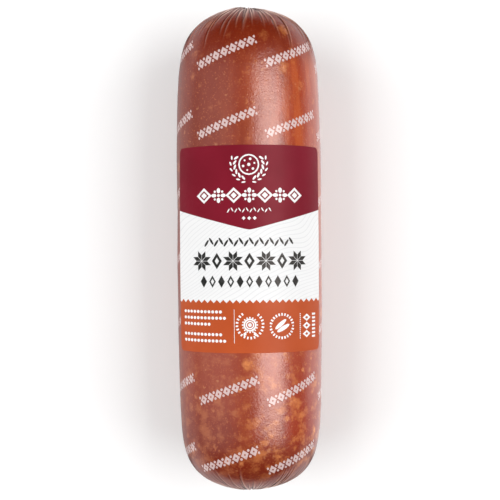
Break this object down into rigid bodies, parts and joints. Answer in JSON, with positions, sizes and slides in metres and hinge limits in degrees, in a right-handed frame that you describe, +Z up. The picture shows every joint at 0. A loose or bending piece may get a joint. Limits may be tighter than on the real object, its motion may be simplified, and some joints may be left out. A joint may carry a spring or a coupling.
{
  "type": "cured sausage",
  "caption": "Short, thick cured sausage in a printed casing, gathered and clipped at each end, with a wrap label along its upper side; it lies on a flattened strip.",
  "frame": {"origin": "middle of the flattened strip that the sausage rests on, at the base of its bounding box", "axes": "+Y along the sausage towards the end above the label's heading, +Z up through the middle of the label, +X to the right when reading the label"},
  "size_m": [0.0524, 0.174, 0.0521],
  "materials": {
    "filling": "satin",
    "casing": "satin",
    "label": "satin",
    "clip": "satin"
  },
  "bodies": {
    "root": {"filling": "filling", "casing": "casing", "label": "label", "front_clip": "clip", "back_clip": "clip"}
  },
  "joints": []
}
